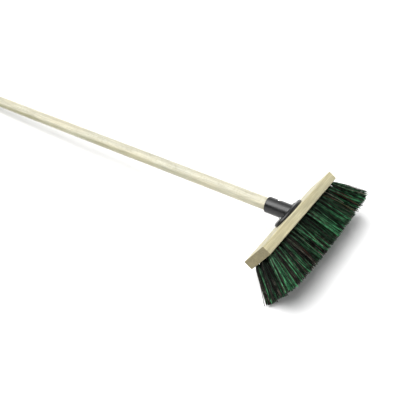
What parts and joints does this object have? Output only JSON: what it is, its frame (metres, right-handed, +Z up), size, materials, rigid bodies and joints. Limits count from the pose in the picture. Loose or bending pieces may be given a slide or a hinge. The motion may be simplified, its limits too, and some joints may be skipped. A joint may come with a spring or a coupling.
{
  "type": "push broom",
  "caption": "Push broom lying on the floor: wooden handle in a black plastic socket on a rectangular wooden block, with fanned mixed green and black bristles",
  "frame": {"origin": "on the floor, below the middle of the whole broom as it lies", "axes": "+X along the block, +Y from the head to the far end of the handle, +Z up"},
  "size_m": [0.3452, 1.5152, 0.1192],
  "materials": {
    "handle_wood": "planed, unvarnished",
    "block_wood": "sawn and sanded",
    "socket_plastic": "moulded satin",
    "screw_steel": "zinc plated",
    "anchor_steel": "bright strip",
    "fibre": "green synthetic filament mixed with black and brown natural fibre"
  },
  "bodies": {
    "root": {"handle": "handle_wood", "handle_socket": "socket_plastic", "handle_screw": "screw_steel", "flange_screws": "screw_steel", "block": "block_wood", "tuft_row_1": "fibre", "anchor_row_1": "anchor_steel", "tuft_row_2": "fibre", "anchor_row_2": "anchor_steel", "tuft_row_3": "fibre", "anchor_row_3": "anchor_steel", "tuft_row_4": "fibre", "anchor_row_4": "anchor_steel", "tuft_row_5": "fibre", "anchor_row_5": "anchor_steel"}
  },
  "joints": []
}
